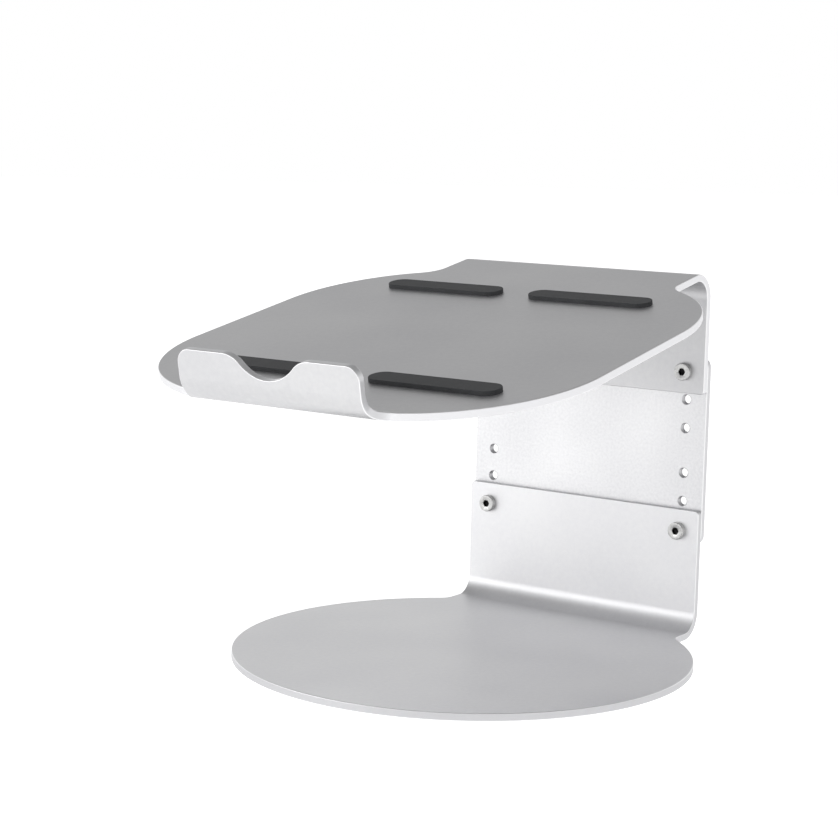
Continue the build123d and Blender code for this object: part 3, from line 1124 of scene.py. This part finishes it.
@dataclass
class SiliconeParts:
    """Feet under the disc, strips on the tray and pads on the lip, all glued on."""

    tray: Tray
    edge_r: float = 0.3
    glued_r: float = 0.05  # edge rounding on the glued face
    strip_l: float = 64.0
    strip_w: float = 12.0
    strip_t: float = 2.0
    lip_pad_w: float = 22.0
    lip_pad_h: float = 8.6
    lip_pad_t: float = 1.5
    lip_pad_r: float = 3.0
    lip_pad_gap: float = 1.4
    finish: MouldedSilicone = MouldedSilicone("moulded_dark_silicone")
    foot_places: tuple[str, ...] = (
        "centre", "front", "front_right", "rear_right", "rear_left", "front_left"
    )

    def slab(self, path: SheetPath, thick: float, outline: Outline) -> BentSheet:
        """A moulded slab, rounded at its outer face and nearly sharp where it is glued."""
        return BentSheet(path, thick, outline, front_r=self.edge_r, back_r=self.glued_r)

    def stadium(self, centre: Pair, length: float, width: float, radius: float) -> Outline:
        """A rectangle with round corners.

        Args:
            centre: Its centre in the flat.
            length: Its size across.
            width: Its size along.
            radius: Its corners' radius.

        Returns:
            The outline.
        """
        outline = Outline()
        reach_x, reach_y = max(0.0, length / 2 - radius), max(0.0, width / 2 - radius)
        for turn, (x, y) in enumerate(((1, -1), (1, 1), (-1, 1), (-1, -1))):
            corner = (centre[0] + x * reach_x, centre[1] + y * reach_y)
            outline.arc(corner, radius, -90 + 90 * turn, 90 * turn)
        first, last = outline.points[0], outline.points[-1]
        if max(abs(a - b) for a, b in zip(first, last)) < SAME_PLACE:
            outline.points.pop()
            outline.normals.pop()
        return outline

    def build(self) -> None:
        """Builds and dresses every silicone part."""
        silicone = self.finish.material()
        self.build_feet(silicone)
        self.build_strips(silicone)
        self.build_lip_pads(silicone)

    def build_feet(self, silicone: Material) -> None:
        """Builds the round feet."""
        for place in self.foot_places:
            node = f"foot_{place}"
            low, high = box_mm(node)
            middle, size = (low + high) / 2, high - low
            outline = self.stadium((middle.x, middle.y), size.x, size.y, size.x / 2)
            path = SheetPath((0.0, low.z), 0.0, 1)
            foot = self.slab(path, size.z, outline).make(f"{node}_moulded")
            finish_piece(foot, node, "base", silicone)

    def build_strips(self, silicone: Material) -> None:
        """Builds the tray's four strips."""
        lean = radians(self.tray.tilt)
        for place in ("front", "rear"):
            for side in Side:
                node = f"tray_pad_{place}_{side.word}"
                middle = middle_mm(node)
                start = self.tray.slope_point(0, self.strip_t)
                forward = (start[0] - middle.y) * cos(lean) + (start[1] - middle.z) * sin(lean)
                outline = self.stadium((middle.x, forward), self.strip_l, self.strip_w, self.strip_w / 2)
                path = SheetPath(start, 180 + self.tray.tilt, 1)
                strip = self.slab(path, self.strip_t, outline).make(f"{node}_moulded")
                finish_piece(strip, node, "tray", silicone)

    def build_lip_pads(self, silicone: Material) -> None:
        """Builds the lip's two pads."""
        start = self.tray.slope_point(self.tray.length - self.lip_pad_t, 0)
        middle_up = self.tray.bend_r + self.lip_pad_gap + self.lip_pad_h / 2
        for side in Side:
            node = f"lip_pad_{side.word}"
            centre = (middle_mm(node).x, middle_up)
            outline = self.stadium(centre, self.lip_pad_w, self.lip_pad_h, self.lip_pad_r)
            path = SheetPath(start, 90 + self.tray.tilt, 1)
            pad = self.slab(path, self.lip_pad_t, outline).make(f"{node}_moulded")
            finish_piece(pad, node, "tray", silicone)


# Studio ----------------------------------------------------------------------------------------


@dataclass(frozen=True)
class Softbox:
    """One rectangular studio light, aimed at the stand's middle.

    Attributes:
        name: Its name.
        turn: Degrees round the stand from the front, positive to the right.
        height: Degrees above the table.
        distance: Metres from the stand's middle.
        size: Width and height in metres.
        watts: Its power.
        lights_metal: False where it is kept out of reflections.
    """

    name: str
    turn: float
    height: float
    distance: float
    size: Pair
    watts: float
    lights_metal: bool = True

    def build(self, target: Vector) -> None:
        """Hangs the light."""
        light = bpy.data.lights.new(self.name, "AREA")
        light.shape = "RECTANGLE"
        light.size, light.size_y = self.size
        light.energy = self.watts
        holder = bpy.data.objects.new(self.name, light)
        turn, height = radians(self.turn), radians(self.height)
        away = Vector((sin(turn) * cos(height), -cos(turn) * cos(height), sin(height)))
        holder.location = target + away * self.distance
        holder.rotation_euler = away.to_track_quat("Z", "Y").to_euler()
        holder.visible_glossy = self.lights_metal
        bpy.context.scene.collection.objects.link(holder)


@dataclass
class Studio:
    """White table, white surround, softboxes and the camera."""

    camera_turn: float = 34.86
    camera_height: float = 8.10
    camera_roll: float = 1.35
    camera_distance: float = 0.98316
    lens: float = 90.77
    aim_offset: tuple[float, float, float] = (-27.07, 18.05, 20.8)  # mm from the stand's middle
    table_r: float = 7.0
    table_colour: str = "#D0D0D0"
    table_glow: float = 0.84  # the table is lit from below
    surround_rise: float = 4.0
    sky_strength: float = 1.15
    sky: tuple[Pair, ...] = (  # height of the direction from -1 to 1, and its light
        (-1.0, 0.6),
        (-0.5, 0.8),
        (-0.08, 1.0),
        (0.1, 1.0),
        (0.4, 0.75),
        (0.72, 0.22),
    )
    softboxes: tuple[Softbox, ...] = (
        Softbox("softbox_front_left", turn=-35, height=12, distance=2.4, size=(2.4, 0.8), watts=12),
        Softbox("softbox_back_left", turn=-145, height=6, distance=2.4, size=(1.8, 0.4), watts=2),
        Softbox("softbox_overhead", turn=20, height=78, distance=2.2, size=(1.6, 1.6), watts=4),
        Softbox(
            "table_light", turn=0, height=90, distance=3.0, size=(3.0, 3.0), watts=12, lights_metal=False
        ),
    )

    def build(self) -> None:
        """Builds the studio round the stand."""
        low, high = CAD_BOX
        middle = (low + high) / 2
        self.build_table(low.z)
        self.build_surround(middle)
        self.build_sky()
        for softbox in self.softboxes:
            softbox.build(middle)
        self.build_camera(middle)
        bpy.context.scene.view_settings.view_transform = "Standard"

    def circle(self, middle: Pair, height: float) -> list[tuple[float, float, float]]:
        """Points round the table's rim, or above or below it."""
        angles = (2 * pi * k / RIM_POINTS for k in range(RIM_POINTS))
        return [
            (middle[0] + self.table_r * cos(a), middle[1] + self.table_r * sin(a), height) for a in angles
        ]

    def stand_up(self, name: str, verts: list, faces: list, material: Material) -> Object:
        """Makes one part of the stage.

        Args:
            name: Its name.
            verts: Its points in metres.
            faces: Its faces.
            material: Its finish.

        Returns:
            The part, linked to the scene.
        """
        mesh = bpy.data.meshes.new(name)
        mesh.from_pydata(verts, [], faces)
        mesh.materials.append(material)
        part = bpy.data.objects.new(name, mesh)
        bpy.context.scene.collection.objects.link(part)
        return part

    def build_table(self, height: float) -> None:
        """Lays the white table under the feet, clear from below so that the feet can be seen."""
        made, tree = new_material("frosted_white_acrylic")
        paper = add_node(tree, "ShaderNodeBsdfDiffuse", {"Color": linear(self.table_colour)})
        glow = add_node(tree, "ShaderNodeEmission", {"Strength": self.table_glow})
        both = add_node(tree, "ShaderNodeAddShader", {0: paper.outputs[0], 1: glow.outputs[0]})
        clear = add_node(tree, "ShaderNodeBsdfTransparent")
        from_below = add_node(tree, "ShaderNodeNewGeometry").outputs["Backfacing"]
        inputs = {0: from_below, 1: both.outputs[0], 2: clear.outputs[0]}
        one_way = add_node(tree, "ShaderNodeMixShader", inputs)
        add_node(tree, "ShaderNodeOutputMaterial", {"Surface": one_way.outputs[0]})
        verts = [(0.0, 0.0, height), *self.circle((0.0, 0.0), height)]
        faces = [(0, 1 + k, 1 + (k + 1) % RIM_POINTS) for k in range(RIM_POINTS)]
        self.stand_up("table", verts, faces, made)

    def build_surround(self, middle: Vector) -> None:
        """Stands a plain white wall all round, which lights nothing and only fills the view."""
        made, tree = new_material("glowing_white_paper")
        shader = add_node(tree, "ShaderNodeEmission", {"Color": (1, 1, 1, 1), "Strength": 1.0})
        add_node(tree, "ShaderNodeOutputMaterial", {"Surface": shader.outputs[0]})
        spot, rise = (middle.x, middle.y), self.surround_rise
        verts = self.circle(spot, -rise) + self.circle(spot, rise) + [(*spot, rise)]
        faces = []
        for k in range(RIM_POINTS):
            after = (k + 1) % RIM_POINTS
            faces.append((k, after, RIM_POINTS + after, RIM_POINTS + k))
            faces.append((RIM_POINTS + k, RIM_POINTS + after, 2 * RIM_POINTS))
        wall = self.stand_up("surround", verts, faces, made)
        wall.visible_diffuse = wall.visible_glossy = wall.visible_shadow = False
        wall.visible_transmission = wall.visible_volume_scatter = False

    def build_sky(self) -> None:
        """Fills the room with soft light, paler near the horizon than overhead."""
        world = bpy.data.worlds.new("studio_light")
        world.use_nodes = True
        tree = world.node_tree
        tree.nodes.clear()
        place = add_node(tree, "ShaderNodeTexCoord").outputs["Generated"]
        height = add_node(tree, "ShaderNodeSeparateXYZ", {0: place}).outputs[2]
        ramp = add_node(tree, "ShaderNodeValToRGB", {0: between(tree, height, span=(-1.0, 1.0))})
        stops = ramp.color_ramp.elements
        while len(stops) < len(self.sky):
            stops.new(0.5)
        for stop, (rise, shade) in zip(stops, self.sky):
            stop.position = (rise + 1) / 2
            stop.color = (shade, shade, shade, 1.0)
        light = add_node(
            tree, "ShaderNodeBackground", {"Color": ramp.outputs[0], "Strength": self.sky_strength}
        )
        add_node(tree, "ShaderNodeOutputWorld", {"Surface": light.outputs[0]})
        bpy.context.scene.world = world

    def build_camera(self, middle: Vector) -> None:
        """Sets up the camera."""
        turn, height, roll = (radians(a) for a in (self.camera_turn, self.camera_height, self.camera_roll))
        back = Vector((sin(turn) * cos(height), -cos(turn) * cos(height), sin(height)))
        right = Vector((cos(turn), sin(turn), 0))
        up = back.cross(right)
        across = right * cos(roll) + up * sin(roll)
        upward = up * cos(roll) - right * sin(roll)
        camera = bpy.data.cameras.new("camera")
        camera.lens = self.lens
        camera.clip_start, camera.clip_end = 0.05, 50
        holder = bpy.data.objects.new("camera", camera)
        spin = Matrix((across, upward, back)).transposed().to_4x4()
        spot = middle + Vector(self.aim_offset) * MM + back * self.camera_distance
        holder.matrix_world = Matrix.Translation(spot) @ spin
        bpy.context.scene.collection.objects.link(holder)
        bpy.context.scene.camera = holder


def main() -> None:
    """Builds the stand and its studio."""
    logging.basicConfig(level=logging.INFO, format="%(name)s: %(message)s")
    tray = Tray()
    for assembly in (Base(), HeightPlate(), tray, Fasteners(), SiliconeParts(tray)):
        LOG.info("%s", type(assembly).__name__)
        assembly.build()
    Studio().build()


if __name__ == "__main__":
    main()
